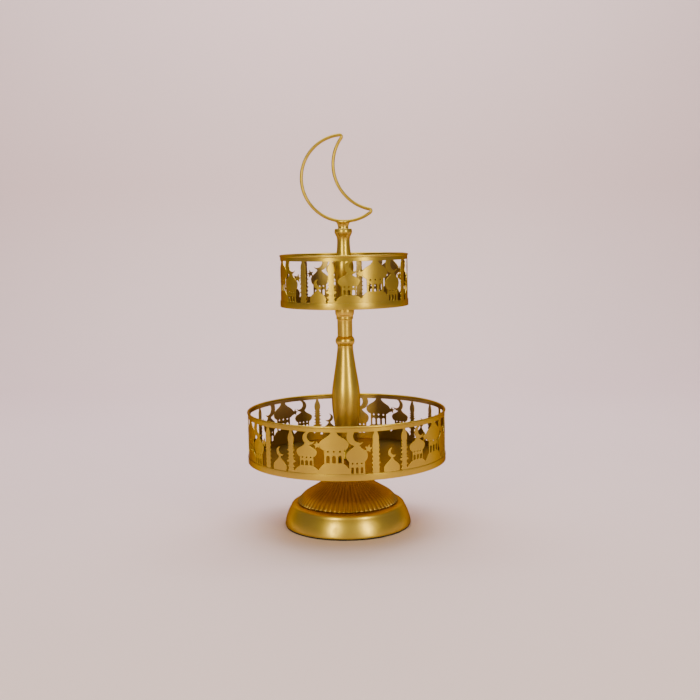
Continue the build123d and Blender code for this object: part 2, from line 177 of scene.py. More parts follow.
# ---- shader maths ----
class Value:
    """A socket whose arithmetic adds Math nodes."""

    def __init__(self, shading, socket):
        self.shading = shading
        self.socket = socket

    def math(self, operation, *others):
        values = dict(enumerate((self, *others)))
        return self.shading.node("ShaderNodeMath", {"operation": operation}, values)

    def __add__(self, other):
        return self.math("ADD", other)

    __radd__ = __add__

    def __mul__(self, other):
        return self.math("MULTIPLY", other)

    __rmul__ = __mul__

    def __sub__(self, other):
        return self.math("SUBTRACT", other)

    def __rsub__(self, other):
        return self.math("MULTIPLY", -1.0).math("ADD", other)

    def __truediv__(self, other):
        return self.math("DIVIDE", other)

    def __pow__(self, other):
        return self.math("POWER", other)

    def within(self, low, high):
        """0 at low, 1 at high, smooth between."""
        settings = {"interpolation_type": "SMOOTHSTEP"}
        return self.shading.node("ShaderNodeMapRange", settings, {
            "Value": self, "From Min": low, "From Max": high, "To Min": 0.0, "To Max": 1.0})


class Shading:
    """A material's node tree."""

    def __init__(self, name):
        self.material = bpy.data.materials.new(name)
        self.material.use_nodes = True
        self.tree = self.material.node_tree
        self.tree.nodes.clear()

    def node(self, kind, settings=None, values=None, output=0):
        """One node: its settings first, then the values or links of its sockets.

        Returns one output's value, the values of several, or nothing when output is None.
        """
        made = self.tree.nodes.new(kind)
        for name, setting in (settings or {}).items():
            setattr(made, name, setting)
        for name, value in (values or {}).items():
            if isinstance(value, Value):
                self.tree.links.new(value.socket, made.inputs[name])
            else:
                made.inputs[name].default_value = value
        if output is None:
            return None
        if isinstance(output, tuple):
            return [Value(self, made.outputs[place]) for place in output]
        return Value(self, made.outputs[output])

    def position(self):
        return self.node("ShaderNodeTexCoord", output="Object")

    def split(self, vector):
        """The three parts of a vector."""
        return self.node("ShaderNodeSeparateXYZ", None, {0: vector}, (0, 1, 2))

    def join(self, x, y, z):
        return self.node("ShaderNodeCombineXYZ", None, {0: x, 1: y, 2: z})

    def noise(self, vector, scale, detail=2.0, roughness=0.5):
        return self.node("ShaderNodeTexNoise", {"noise_dimensions": "3D"}, {
            "Vector": vector, "Scale": scale, "Detail": detail, "Roughness": roughness})

    def blend(self, factor, low, high):
        """Colour between low and high."""
        return self.node("ShaderNodeMix", {"data_type": "RGBA"}, {0: factor, 6: low, 7: high}, output=2)

    def bump(self, height, strength, distance):
        return self.node("ShaderNodeBump", None, {
            "Height": height, "Strength": strength, "Distance": distance})

    def surface(self, **values):
        """Principled surface from named sockets, joined to the output."""
        named = {name.replace("_", " ").title(): value for name, value in values.items()}
        shader = self.node("ShaderNodeBsdfPrincipled", None, named)
        self.node("ShaderNodeOutputMaterial", None, {"Surface": shader}, None)
        return self.material


def rgba(colour):
    return (*colour, 1.0)


# ---- finishes ----
def turned_coordinates(shading, rings_per_metre):
    """Coordinates that change fast along a turned profile and slowly round it."""
    x, y, z = shading.split(shading.position())
    radius = (x * x + y * y + 1e-9) ** 0.5
    along = (z + radius * 0.62) * rings_per_metre
    return shading.join(x / radius * 1.3, y / radius * 1.3, along)


def inner_face(shading, place):
    """1 on faces that look towards the column, 0 on those that look away."""
    nx, ny, _ = shading.split(shading.node("ShaderNodeTexCoord", output="Normal"))
    x, y, _ = shading.split(place)
    away = (nx * x + ny * y) / (x * x + y * y + 1e-9) ** 0.5
    return 1.0 - away.within(-0.7, -0.2)


def upper_face(shading):
    """1 on faces that look up."""
    _, _, nz = shading.split(shading.node("ShaderNodeTexCoord", output="Normal"))
    return nz.within(0.5, 0.9)


def satin_gold(name, finish, turned=True, flutes=0, shaded_face=None):
    """Satin gold plating: soft clouds, dull spots, fine flake and faint turning marks.

    Painted shade darkens the fluted cone, the faces towards the inside of a tray and the upward faces of
    the tray floors; sheet pieces start from a darker copy of the gold, also painted shade.
    """
    shading = Shading(name)
    place = shading.position()
    cloud = shading.noise(place, 16.0, 3.0, 0.55)
    dull = shading.noise(place, 110.0, 4.0, 0.6).within(0.54, 0.74)
    flake = shading.noise(place, 1700.0, 2.0, 0.6)
    rings = shading.noise(turned_coordinates(shading, 2200.0 if turned else 700.0), 1.0, 3.0, 0.6)
    darkening = cloud.within(0.40, 0.75) * 0.20 + dull * 0.12 + (rings - 0.5) * 0.14 + (flake - 0.5) * 0.22
    # Painted shade: the shade under the lower tray is painted over the whole fluted cone, and the colour
    # is darker still on each rib's crest.
    if flutes:
        x, y, _ = shading.split(place)
        wave = (y.math("ARCTAN2", x) * float(flutes)).math("COSINE")
        darkening = darkening + 0.40 + (0.5 + 0.5 * wave) ** 2.0 * 0.40
    # Painted shade on the faces towards the inside of a tray, which stand in their own shade.
    if shaded_face == "inner":
        darkening = darkening + inner_face(shading, place) * 0.75
    # Painted shade on the upward faces of the tray floors.
    if shaded_face == "upper":
        darkening = darkening + upper_face(shading) * 0.45
    # Sheet pieces take the darker, painted-shade copy of the gold.
    clean = finish.gold if turned else finish.shaded_sheet_gold
    # The mix towards deep gold holds the random dulling and the painted shade alike.
    colour = shading.blend(darkening.math("MAXIMUM", 0.0), rgba(clean), rgba(finish.dull_and_shaded_gold))
    roughness = finish.satin + (rings - 0.5) * 0.06 + dull * 0.10 + (cloud - 0.5) * 0.08
    relief = rings * 0.6 + flake * 0.5 + dull * 0.4
    return shading.surface(
        base_color=colour, metallic=1.0, roughness=roughness, specular_tint=rgba(finish.edge_gold),
        normal=shading.bump(relief, 0.20, 0.00004))


def zinc_steel(name, finish):
    """Zinc-plated steel: greyish, with a slight spangle and handling marks."""
    shading = Shading(name)
    place = shading.position()
    spangle = shading.noise(place, 420.0, 3.0, 0.6)
    marks = shading.noise(place, 60.0, 5.0, 0.65).within(0.5, 0.7)
    colour = shading.blend(marks * 0.5 + spangle * 0.3, rgba(finish.steel), rgba(finish.dull_steel))
    return shading.surface(
        base_color=colour, metallic=1.0, roughness=0.32 + marks * 0.18 + spangle * 0.10,
        normal=shading.bump(spangle, 0.25, 0.00006))


def machined_brass(name, finish):
    """Brass off the lathe: bright rings and a little tarnish."""
    shading = Shading(name)
    rings = shading.noise(turned_coordinates(shading, 6500.0), 1.0, 2.0, 0.6)
    darkening = shading.noise(shading.position(), 240.0, 3.0, 0.6).within(0.45, 0.75)
    colour = shading.blend(darkening * 0.6, rgba(finish.bush), rgba(finish.dull_bush))
    return shading.surface(
        base_color=colour, metallic=1.0, roughness=0.20 + rings * 0.16 + darkening * 0.14,
        normal=shading.bump(rings, 0.30, 0.00004))


def moulded_rubber(name, finish):
    """Matt black rubber: fine grain and a little dust."""
    shading = Shading(name)
    place = shading.position()
    grain = shading.noise(place, 2600.0, 3.0, 0.6)
    dust = shading.noise(place, 130.0, 4.0, 0.65).within(0.52, 0.78)
    colour = shading.blend(dust * 0.35, rgba(finish.rubber), rgba(finish.dust))
    return shading.surface(
        base_color=colour, roughness=0.72 + grain * 0.16,
        normal=shading.bump(grain, 0.35, 0.00012))


def clear_nylon(name, finish):
    """Milky nylon washer."""
    shading = Shading(name)
    mottle = shading.noise(shading.position(), 320.0, 3.0, 0.55)
    colour = shading.blend(mottle * 0.4, rgba(finish.nylon), rgba(finish.dull_nylon))
    return shading.surface(
        base_color=colour, roughness=0.38 + mottle * 0.14, subsurface_weight=0.15,
        normal=shading.bump(mottle, 0.20, 0.00008))


def matt_paint(name, colour):
    """Pale matt surface of the studio, with a trace of unevenness."""
    shading = Shading(name)
    uneven = shading.noise(shading.position(), 2.2, 3.0, 0.5)
    darker = tuple(channel * 0.94 for channel in colour)
    return shading.surface(
        base_color=shading.blend(uneven, rgba(colour), rgba(darker)), roughness=0.62 + uneven * 0.1)


def finish_of(name, maker, *args, **options):
    """The material of that name, made once."""
    return bpy.data.materials.get(name) or maker(name, *args, **options)


# ---- mesh helpers ----
def new_object(name, mesh):
    made = bpy.data.objects.new(name, mesh)
    bpy.context.scene.collection.objects.link(made)
    return made


def dress(piece, material):
    """Gives a piece its material."""
    piece.data.materials.clear()
    piece.data.materials.append(material)
    return piece


def rounded(corners, radius, steps=4):
    """Polygon of (r, z) corners with each corner turned into a small arc."""
    points = []
    for last, corner, following in zip(corners[-1:] + corners[:-1], corners, corners[1:] + corners[:1]):
        here = Vector(corner)
        before, after = Vector(last) - here, Vector(following) - here
        turn = before.angle(after)
        cut = min(radius / tan(turn / 2), 0.45 * before.length, 0.45 * after.length)
        start, end = here + before.normalized() * cut, here + after.normalized() * cut
        for step in range(steps + 1):
            t = step / steps
            spot = start.lerp(here, t).lerp(here.lerp(end, t), t)
            points.append((spot.x, spot.y))
    return points


def smooth_line(points, steps=8):
    """Smooth line through (r, z) points, as a Catmull-Rom curve."""
    knots = [Vector(p) for p in points]
    first, last = 2 * knots[0] - knots[1], 2 * knots[-1] - knots[-2]
    chain = [first, *knots, last]
    line = []
    for a, b, c, d in zip(chain, chain[1:], chain[2:], chain[3:]):
        for step in range(steps):
            t = step / steps
            spot = 0.5 * (2 * b + (c - a) * t + (2 * a - 5 * b + 4 * c - d) * t ** 2
                          + (3 * b - a - 3 * c + d) * t ** 3)
            line.append((spot.x, spot.y))
    line.append(tuple(knots[-1]))
    return line


def arc_through(start, middle, end, steps=10):
    """Points of the circular arc through three (r, z) points."""
    (ax, ay), (bx, by), (cx, cy) = start, middle, end
    d = 2 * (ax * (by - cy) + bx * (cy - ay) + cx * (ay - by))
    a2, b2, c2 = ax * ax + ay * ay, bx * bx + by * by, cx * cx + cy * cy
    ux = (a2 * (by - cy) + b2 * (cy - ay) + c2 * (ay - by)) / d
    uy = (a2 * (cx - bx) + b2 * (ax - cx) + c2 * (bx - ax)) / d
    radius = hypot(ax - ux, ay - uy)
    first, mid, last = (atan2(y - uy, x - ux) for x, y in (start, middle, end))
    if not shortest_turn(first, mid) * shortest_turn(mid, last) > 0:
        raise ValueError("the three points of an arc are out of order")
    sweep = shortest_turn(first, mid) + shortest_turn(mid, last)
    angles = [first + sweep * step / steps for step in range(steps + 1)]
    return [(ux + radius * cos(a), uy + radius * sin(a)) for a in angles]


def shortest_turn(start, end):
    """Angle from start to end, at most half a turn."""
    return (end - start + pi) % (2 * pi) - pi


def arc(x, y, radius, start, sweep, steps):
    """Points of an arc about (x, y), without its last one."""
    angles = [start + sweep * step / steps for step in range(steps)]
    return [(x + radius * cos(a), y + radius * sin(a)) for a in angles]


def ring_mesh(name, rows, sharp):
    """Closed object whose faces join each row of points to the next, the last one to the first."""
    count = len(rows[0])
    faces = []
    for i in range(len(rows)):
        a, b = i * count, (i + 1) % len(rows) * count
        for j in range(count):
            k = (j + 1) % count
            faces.append((a + j, b + j, b + k, a + k))
    mesh = bpy.data.meshes.new(name)
    mesh.from_pydata([spot for row in rows for spot in row], [], faces)
    tidy = bmesh.new()
    tidy.from_mesh(mesh)
    bmesh.ops.remove_doubles(tidy, verts=tidy.verts, dist=1e-7)
    bmesh.ops.recalc_face_normals(tidy, faces=tidy.faces)
    tidy.to_mesh(mesh)
    tidy.free()
    mesh.shade_smooth()
    mesh.set_sharp_from_angle(angle=radians(sharp))
    return new_object(name, mesh)


def revolve(name, outline, segments=128, sharp=32.0, wave=None):
    """Mesh of an (r, z) outline in millimetres turned about Z. wave(angle, r) can vary the radius."""
    rows = []
    for i in range(segments):
        angle = 2 * pi * i / segments
        reaches = [(wave(angle, r) if wave else r, z) for r, z in outline]
        rows.append([(r * sin(angle) * MM, -r * cos(angle) * MM, z * MM) for r, z in reaches])
    return ring_mesh(name, rows, sharp)


def box_of(node):
    """(bottom, top, radius) of a round node, in millimetres."""
    low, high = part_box(node)
    return low.z / MM, high.z / MM, high.x / MM


# ---- foot ----
CONE_LINE = [  # mean radius and height of the fluted cone, in millimetres
    (63.2, 31.0), (60.9, 33.9), (54.7, 40.4), (45.8, 46.0), (40.2, 49.4), (35.0, 53.0), (29.8, 57.6),
    (25.6, 63.0), (22.4, 69.0), (20.0, 76.0), (18.5, 83.2),
]


def foot_ring_outline(radius, z0, sheet):
    """Section of the spun ring, from the turned-in lip over the shoulder and back inside."""
    side_top = (radius - 7.5, 24.5)
    outside = arc_through((radius, z0 + 1.2), (radius - 2.7, z0 + 12.5), side_top, 16)
    shoulder = arc_through(side_top, (radius - 10.0, 28.4), (64.9, 30.0), 12)
    inside = arc_through((64.6, 30.0 - sheet), (radius - 10.6, 27.5), (side_top[0] - sheet, 24.2), 8)
    inner_side = arc_through((side_top[0] - sheet, 24.2), (radius - 4.0, z0 + 11.3),
                             (radius - sheet, z0 + sheet), 10)
    lip = [(radius - 10.0, z0 + sheet), (radius - 10.0, z0)]
    lower_edge = arc_through((radius - 1.0, z0), (radius - 0.25, z0 + 0.35), (radius, z0 + 1.2), 4)
    return lip + lower_edge[:-1] + outside[:-1] + shoulder + [(59.4, 30.0), (59.4, 30.0 - sheet)] \
        + inside + inner_side


class CAKESTAND_OT_foot(bpy.types.Operator):
    """Foot: rubber ring, spun ring and fluted cone"""

    bl_idname = "cakestand.foot"
    bl_label = "Foot"

    def execute(self, context):
        sizes, finish = context.scene.cakestand_sizes, context.scene.cakestand_finish
        # Black rubber anti-slip ring; its dark line along the foot's bottom edge also stands in for the
        # contact shadow there.
        pad_z0, pad_z1, pad_r = box_of("foot_pad_ring")
        pad_and_shadow_line = revolve("pad_ring", rounded(
            [(pad_r - 8.2, pad_z0), (pad_r, pad_z0), (pad_r, pad_z1), (pad_r - 8.2, pad_z1)], 0.35), 192)
        dress(pad_and_shadow_line, finish_of("moulded_rubber", moulded_rubber, finish))
        ring = revolve("foot_ring", foot_ring_outline(
            sizes.foot_radius / MM, foot_of("foot_base_ring") / MM, sizes.sheet / MM), 256)
        dress(ring, finish_of("satin_gold_turned", satin_gold, finish))
        cone = self.fluted_cone(sizes)
        # The fluted cone's gold carries painted shade.
        dress(cone, finish_of("satin_gold_fluted", satin_gold, finish, True, sizes.flutes))
        for piece, node in ((pad_and_shadow_line, "foot_pad_ring"), (ring, "foot_base_ring"), (cone, "foot_fluted_cone")):
            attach(piece, "stand")
            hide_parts(node)
        return {"FINISHED"}

    def fluted_cone(self, sizes):
        """Ribbed cone: the ribs are full at the base and fade a little towards the neck."""
        wall = 1.3
        line = smooth_line(CONE_LINE, 5)
        base = [(line[0][0] - 1.0, 30.0), (line[0][0] - 0.2, 30.4)]
        top = [(18.2, 83.9), (3.3, 83.9), (3.3, 82.5), (16.6, 82.5)]
        inside = [(r - wall - 0.6, z - 0.4) for r, z in reversed(line[:-1])]
        outline = base + line + top + inside + [(base[0][0] - wall, 30.0)]
        outer_end = len(base) + len(line)
        outer = {round(r, 6) for r, _ in outline[:outer_end]}

        def ribs(angle, r):
            if round(r, 6) not in outer:
                return r
            swell = abs(cos(sizes.flutes * angle / 2)) ** 0.9
            return r * (1 + sizes.flute_depth * (2 * swell - 1))

        return revolve("fluted_cone", outline, sizes.flutes * 10, sharp=50.0, wave=ribs)


# ---- columns ----
def tube_outline(outside, wall):
    """Closed section of a tube from its outside line, with rounded ends."""
    (r0, z0), (r1, z1) = outside[0], outside[-1]
    ease = 0.35
    outer = [(r0 - ease, z0), (r0, z0 + ease), *outside[1:-1], (r1, z1 - ease), (r1 - ease, z1)]
    inner = [(r - wall, z) for r, z in reversed(outside)]
    return outer + inner


class CAKESTAND_OT_columns(bpy.types.Operator):
    """Columns: vase, collar bead, neck and top baluster"""

    bl_idname = "cakestand.columns"
    bl_label = "Columns"

    def execute(self, context):
        finish = context.scene.cakestand_finish
        gold = finish_of("satin_gold_turned", satin_gold, finish)
        outlines = {
            "vase_column": self.vase_line(),
            "column_collar": self.collar_line(),
            "neck_column": self.neck_line(),
            "top_column": self.top_line(),
        }
        for node, outline in outlines.items():
            piece = revolve(node + "_skin", outline, 128)
            dress(piece, gold)
            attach(piece, "stand")
            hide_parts(node)
        return {"FINISHED"}

    def vase_line(self):
        z0, z1, _ = box_of("vase_column")
        return tube_outline(smooth_line([
            (14.0, z0), (13.4, z0 + 5), (12.6, z0 + 14), (14.3, 121), (17.2, 144), (18.0, 158),
            (17.1, 175), (12.8, 203), (10.2, 222), (9.9, z1)], 8), 1.2)

    def collar_line(self):
        z0, z1, r = box_of("column_collar")
        bead = arc_through((10.2, z0 + 0.7), (r, (z0 + z1) / 2), (10.0, z1 - 0.7), 18)
        return [(3.3, z0), (9.5, z0), (9.9, z0 + 0.2), *bead, (9.8, z1 - 0.2), (9.4, z1), (3.3, z1)]

    def neck_line(self):
        z0, z1, bead_r = box_of("neck_column")
        r, ring_r = 9.4, 10.5
        ring_z0, ring_z1, bead_z = z1 - 16.4, z1 - 13.8, z1 - 11.2
        cove = arc_through((r, ring_z0 - 1.6), (r + 0.3, ring_z0 - 0.6), (ring_r, ring_z0), 6)
        flare = arc_through((ring_r, ring_z1), (ring_r + 0.25, bead_z - 1.0), (bead_r - 0.6, bead_z), 6)
        bead = arc_through((bead_r - 0.6, bead_z), (bead_r, z1 - 6.0), (bead_r - 0.8, z1 - 0.3), 14)
        straight = [(r - 0.4, z0), (r, z0 + 0.4), (r, z0 + 7), (r, z0 + 14)]
        return (straight + cove + [(ring_r + 0.05, (ring_z0 + ring_z1) / 2)] + flare[:-1] + bead
                + [(bead_r - 1.2, z1), (r - 1.2, z1), (r - 1.2, z0)])

    def top_line(self):
        z0, z1, _ = box_of("top_column")
        bead_r = 11.0
        body = smooth_line([
            (10.6, z0), (9.4, z0 + 5), (8.6, z0 + 16), (10.4, z0 + 32), (12.3, 326), (11.0, 335),
            (9.3, 342), (8.3, 350), (7.9, 358), (8.3, 363), (9.8, 366.8)], 8)
        bead = arc_through((9.95, 367.0), (bead_r, 370.4), (10.35, z1 - 0.4), 12)
        inner = [(r - 1.2, z) for r, z in reversed(body[:-17])]
        return body + bead + [(10.0, z1), (inner[0][0], z1)] + inner


# ---- pierced pattern, drawn flat in millimetres ----
def bezier(*control, steps=10):
    """Points of a quadratic or cubic curve, without its last one."""
    points = []
    for step in range(steps):
        t, level = step / steps, [Vector(p) for p in control]
        while len(level) > 1:
            level = [a.lerp(b, t) for a, b in zip(level, level[1:])]
        points.append(tuple(level[0]))
    return points


def shifted(shapes, x, y=0.0):
    return [(kind, [(px + x, py + y) for px, py in points]) for kind, points in shapes]


def both_sides(right):
    """Closed polygon from its right half, bottom to top."""
    return right + [(-x, y) for x, y in reversed(right)]


def metal(points):
    return [("metal", points)]


def hole(points):
    return [("hole", points)]


def oblong(x0, y0, x1, y1):
    return [(x0, y0), (x1, y0), (x1, y1), (x0, y1)]


def block(half_width, y0, y1):
    return metal(oblong(-half_width, y0, half_width, y1))


def round_points(radius_x, radius_y, y, steps):
    angles = [2 * pi * i / steps for i in range(steps)]
    return [(radius_x * cos(a), y + radius_y * sin(a)) for a in angles]


def onion(half_base, y0, half_width, y_wide, half_neck, y1):
    """Onion dome: full below, drawn in to a neck by a reversed curve."""
    rise, swell = y1 - y_wide, half_width - half_base
    under = bezier((half_base, y0), (half_base + 0.9 * swell, y0 + 0.3 * (y_wide - y0)),
                   (half_width, y_wide), steps=8)
    over = bezier((half_width, y_wide), (half_width, y_wide + 0.5 * rise),
                  (half_neck + 0.12 * (half_width - half_neck), y1 - 0.47 * rise),
                  (half_neck, y1), steps=16)
    return metal(both_sides(under + over + [(half_neck, y1)]))


def mound(half_base, half_top, height):
    """Low rounded hill that a building stands on."""
    slope = bezier((half_base, 0), (half_base - 0.35 * (half_base - half_top), 0.75 * height),
                   (half_top, height), steps=8)
    return metal(both_sides([(half_base, -1), *slope, (half_top, height)]))


def crescent(outer_r, bite_r, shift, turn, x, y):
    """Flat crescent about (x, y) whose opening faces the direction turn, in degrees from +X."""
    reach = acos((outer_r ** 2 + shift ** 2 - bite_r ** 2) / (2 * outer_r * shift))
    bite_reach = atan2(outer_r * sin(reach), outer_r * cos(reach) - shift)
    points = (arc(0, 0, outer_r, reach, 2 * pi - 2 * reach, 26)
              + arc(shift, 0, bite_r, -bite_reach, 2 * bite_reach - 2 * pi, 16))
    c, s = cos(radians(turn)), sin(radians(turn))
    return metal([(x + c * px - s * py, y + s * px + c * py) for px, py in points])


def star(outer_r, turn, x, y):
    """Five-pointed star."""
    spikes = [(outer_r * (0.45 if i % 2 else 1), radians(90 + turn + 36 * i)) for i in range(10)]
    return metal([(x + r * cos(a), y + r * sin(a)) for r, a in spikes])


def in_a_row(shape, count, pitch):
    """Copies of a shape, side by side about the middle."""
    places = [(i - (count - 1) / 2) * pitch for i in range(count)]
    return [copy for x in places for copy in shifted(shape, x)]


def arched_windows(count, pitch, width, y0, y1):
    """Row of round-headed windows."""
    half, spring = width / 2, y1 - width / 2
    head = arc(0, spring, half, 0, pi * 9 / 8, 9)
    return in_a_row(hole([(-half, y0), (half, y0), *head]), count, pitch)


def dots(count, pitch, diameter, y):
    return in_a_row(hole(round_points(diameter / 2, diameter / 2, y, 12)), count, pitch)


def slim_tower_with_balconies(height):
    """Tower with rounded balconies and a pointed head."""
    shapes = block(3.2, -1, 34) + block(3.7, -1, 4) + onion(2.4, 33.2, 4.2, 39.2, 1.4, height + 1)
    for y, half, thick in ((2.0, 5.0, 1.2), (7.0, 5.4, 1.3), (13.0, 6.3, 1.9), (16.8, 5.2, 1.0),
                           (21.4, 4.9, 1.3), (26.2, 5.2, 1.5), (29.4, 4.5, 1.0), (32.4, 4.3, 1.1)):
        shapes += metal(round_points(half, thick, y, 24))
    return shapes


def slim_tower_plain(height):
    """Tower with a slender head and light scallops."""
    shapes = block(3.9, -1, 38) + onion(3.0, 37.0, 3.9, 41.5, 1.8, height + 1)
    for step, half in enumerate((4.9, 5.1, 5.4, 5.1, 5.3, 4.9, 4.7)):
        shapes += metal(round_points(half, 1.7, 2.5 + 5.0 * step, 24))
    return shapes


def mosque_on_mound():
    """Middle-sized building with three windows, an onion dome and a crescent."""
    return (mound(17.3, 8.6, 8.8) + block(8.6, 8.5, 21) + onion(9.2, 20.0, 13.0, 25.9, 2.5, 35.5)
            + crescent(8.0, 6.0, 3.9, 24, 3.2, 41.9)
            + arched_windows(3, 5.5, 3.4, 9.6, 15.6) + dots(3, 5.3, 1.9, 19.2))


def large_mosque(height):
    """Large building whose dome meets the top strip."""
    return (mound(20.0, 11.8, 12.4) + block(11.4, 12, 29)
            + onion(12.0, 28.0, 17.4, 34.6, 3.4, height + 0.5) + block(3.4, height - 1, height + 1)
            + arched_windows(3, 7.0, 3.9, 13.2, 22.0) + dots(3, 7.0, 2.3, 26.8))


def mosque_with_legs():
    """Middle-sized building on straight walls, with a large leaning crescent."""
    return (block(9.3, -1, 16) + onion(9.6, 15.0, 12.7, 21.8, 2.8, 35.0)
            + crescent(11.0, 7.8, 4.7, 4, -1.1, 44.3)
            + arched_windows(3, 5.5, 2.8, 0.9, 8.2) + dots(3, 5.3, 1.9, 12.6))


def small_dome():
    """Small onion dome with a crescent that leans back."""
    return onion(8.9, -1, 10.5, 4.2, 1.1, 17.6) + crescent(5.8, 4.8, 3.1, 31, 0.8, 22.6)


def pattern_cell(height):
    """Metal and holes of one repeat of the pattern."""
    return (slim_tower_with_balconies(height) + shifted(mosque_on_mound(), 20.8)
            + star(5.0, 8, 34.0, 34.2) + shifted(large_mosque(height), 53.7)
            + shifted(mosque_with_legs(), 80.4) + star(5.4, -12, 93.9, 29.4)
            + shifted(slim_tower_plain(height), 102.6) + shifted(small_dome(), 122.6))


def strip_shapes(sizes, start, end, bottom, top):
    """Shapes of a whole strip from start to end along it."""
    height, repeat = sizes.pattern_height / MM, sizes.pattern_repeat / MM
    margin = 2.2
    shapes = [("field", oblong(start, bottom, end, top))]
    shapes += metal(oblong(start, bottom, end, 0)) + metal(oblong(start, height, end, top))
    for side in (start, end - margin):
        shapes.append(("plain", oblong(side, bottom, side + margin, top)))
    first, last = int(start // repeat) - 1, int(end // repeat) + 1
    for i in range(first, last + 1):
        for kind, points in shifted(pattern_cell(height), i * repeat):
            xs = [x for x, _ in points]
            if max(xs) > start and min(xs) < end:
                shapes.append((kind, points))
    return shapes


# ---- from flat shapes to a bent strip ----
def cut_sheet(shapes):
    """Closed outlines of the metal that the shapes leave, with the metal on each outline's left."""
    points, faces = [], []
    for _, outline in shapes:
        faces.append(list(range(len(points), len(points) + len(outline))))
        points += [Vector(p) for p in outline]
    spots, _, triangles, _, _, sources = delaunay_2d_cdt(points, [], faces, 0, 1e-5)
    kept = []
    for triangle, owners in zip(triangles, sources):
        kinds = {shapes[owner][0] for owner in owners}
        pierced = "hole" in kinds or "metal" not in kinds
        if "field" in kinds and ("plain" in kinds or not pierced):
            kept.append(triangle)
    ahead = {}
    edges = {(t[i], t[(i + 1) % 3]) for t in kept for i in range(3)}
    for a, b in edges:
        if (b, a) not in edges:
            ahead.setdefault(a, []).append(b)
    loops = []
    while ahead:
        start = next(iter(ahead))
        loop, here = [start], start
        while True:
            onward = ahead[here].pop()
            if not ahead[here]:
                del ahead[here]
            if onward == start:
                break
            loop.append(onward)
            here = onward
            if here not in ahead:
                raise ValueError("an outline of the cut sheet doesn't close")
        if len(loop) > 3:
            loops.append([spots[i] for i in loop])
    return loops


def even_loop(loop, nearest=0.12, longest=1.6):
    """The loop without crowded points, and with long runs divided."""
    thin = []
    for spot in loop:
        if not thin or (spot - thin[-1]).length > nearest:
            thin.append(spot)
    if (thin[0] - thin[-1]).length < nearest:
        thin.pop()
    even = []
    for a, b in zip(thin, thin[1:] + thin[:1]):
        parts = ceil((b - a).length / longest)
        even += [a.lerp(b, i / parts) for i in range(parts)]
    return even


def side_normals(loop):
    """Unit vectors that point out of the metal at each point of a loop."""
    normals = []
    for before, here, after in zip(loop[-1:] + loop[:-1], loop, loop[1:] + loop[:1]):
        a, b = (here - before).normalized(), (after - here).normalized()
        out = Vector((a.y + b.y, -a.x - b.x))
        normals.append(out.normalized() if out.length > 1e-6 else Vector((a.y, -a.x)))
    return normals


def signed_area(loop):
    return sum(a.cross(b) for a, b in zip(loop, loop[1:] + loop[:1])) / 2


def inside_grid(loops, spacing):
    """Points of a regular grid that keep clear of the outlines."""
    edge = [spot for loop in loops for spot in loop]
    tree = KDTree(len(edge))
    for i, spot in enumerate(edge):
        tree.insert(spot.to_3d(), i)
    tree.balance()
    xs, ys = [spot.x for spot in edge], [spot.y for spot in edge]
    columns, rows = int((max(xs) - min(xs)) / spacing), int((max(ys) - min(ys)) / spacing)
    grid = []
    for i in range(columns + 1):
        for j in range(rows + 1):
            spot = Vector((min(xs) + i * spacing, min(ys) + (j + 0.5 * (i % 2)) * spacing))
            if spot.y < max(ys) and tree.find(spot.to_3d())[2] > 0.55 * spacing:
                grid.append(spot)
    return grid


def bent_strip(name, shapes, outer_r, thickness, phase, z0, round_off):
    """Closed mesh of the pierced strip, bent to outer_r, with rounded cut edges and exact normals."""
    loops = [even_loop(loop) for loop in cut_sheet(shapes)]
    normals = [side_normals(loop) for loop in loops]
    flat, faces = [], []
    for loop, outs in zip(loops, normals):
        around = range(len(flat), len(flat) + len(loop))
        faces.append(list(around if signed_area(loop) > 0 else reversed(around)))
        flat += [spot - out * round_off for spot, out in zip(loop, outs)]
    edge_count = len(flat)
    flat += inside_grid(loops, 2.6)
    spots, _, triangles, sources, _, owners = delaunay_2d_cdt(flat, [], faces, 0, 1e-6)
    widths = [max(x.x for x in loop) - min(x.x for x in loop) for loop in loops]
    outline = widths.index(max(widths))
    placed = {origin: i for i, origins in enumerate(sources) for origin in origins}

    def bend(spot, radius):
        angle = phase + spot.x / (outer_r - thickness / 2)
        return Vector((radius * sin(angle), -radius * cos(angle), z0 + spot.y)) * MM

    def facing(spot, across, out, up):
        angle = phase + spot.x / (outer_r - thickness / 2)
        c, s = cos(angle), sin(angle)
        return Vector((across * c + out * s, across * s - out * c, up)).normalized()

    count = len(spots)
    vertices, directions = [], []
    for radius, out in ((outer_r, 1), (outer_r - thickness, -1)):
        vertices += [bend(spot, radius) for spot in spots]
        directions += [facing(spot, 0, out, 0) for spot in spots]
    quads = []
    for triangle, inside in zip(triangles, owners):
        if outline in inside and len(inside) == 1:
            quads += [tuple(triangle), tuple(i + count for i in reversed(triangle))]
    start = 0
    for loop, outs in zip(loops, normals):
        base = len(vertices)
        for radius in (outer_r - round_off, outer_r - thickness + round_off):
            vertices += [bend(spot, radius) for spot in loop]
            directions += [facing(spot, out.x, 0, out.y) for spot, out in zip(loop, outs)]
        size = len(loop)
        for i in range(size):
            j = (i + 1) % size
            front_i, front_j = placed[start + i], placed[start + j]
            rows = [(front_i, front_j), (base + i, base + j),
                    (base + size + i, base + size + j), (front_i + count, front_j + count)]
            for (a, b), (c, d) in zip(rows, rows[1:]):
                quads.append((b, a, c, d))
        start += size
    if start != edge_count:
        raise ValueError("the strip's outlines and its edge points differ")
    mesh = bpy.data.meshes.new(name)
    mesh.from_pydata(vertices, [], [q for q in quads if len(set(q)) == len(q)])
    mesh.validate()
    mesh.shade_smooth()
    mesh.normals_split_custom_set_from_vertices(directions)
    return new_object(name, mesh)


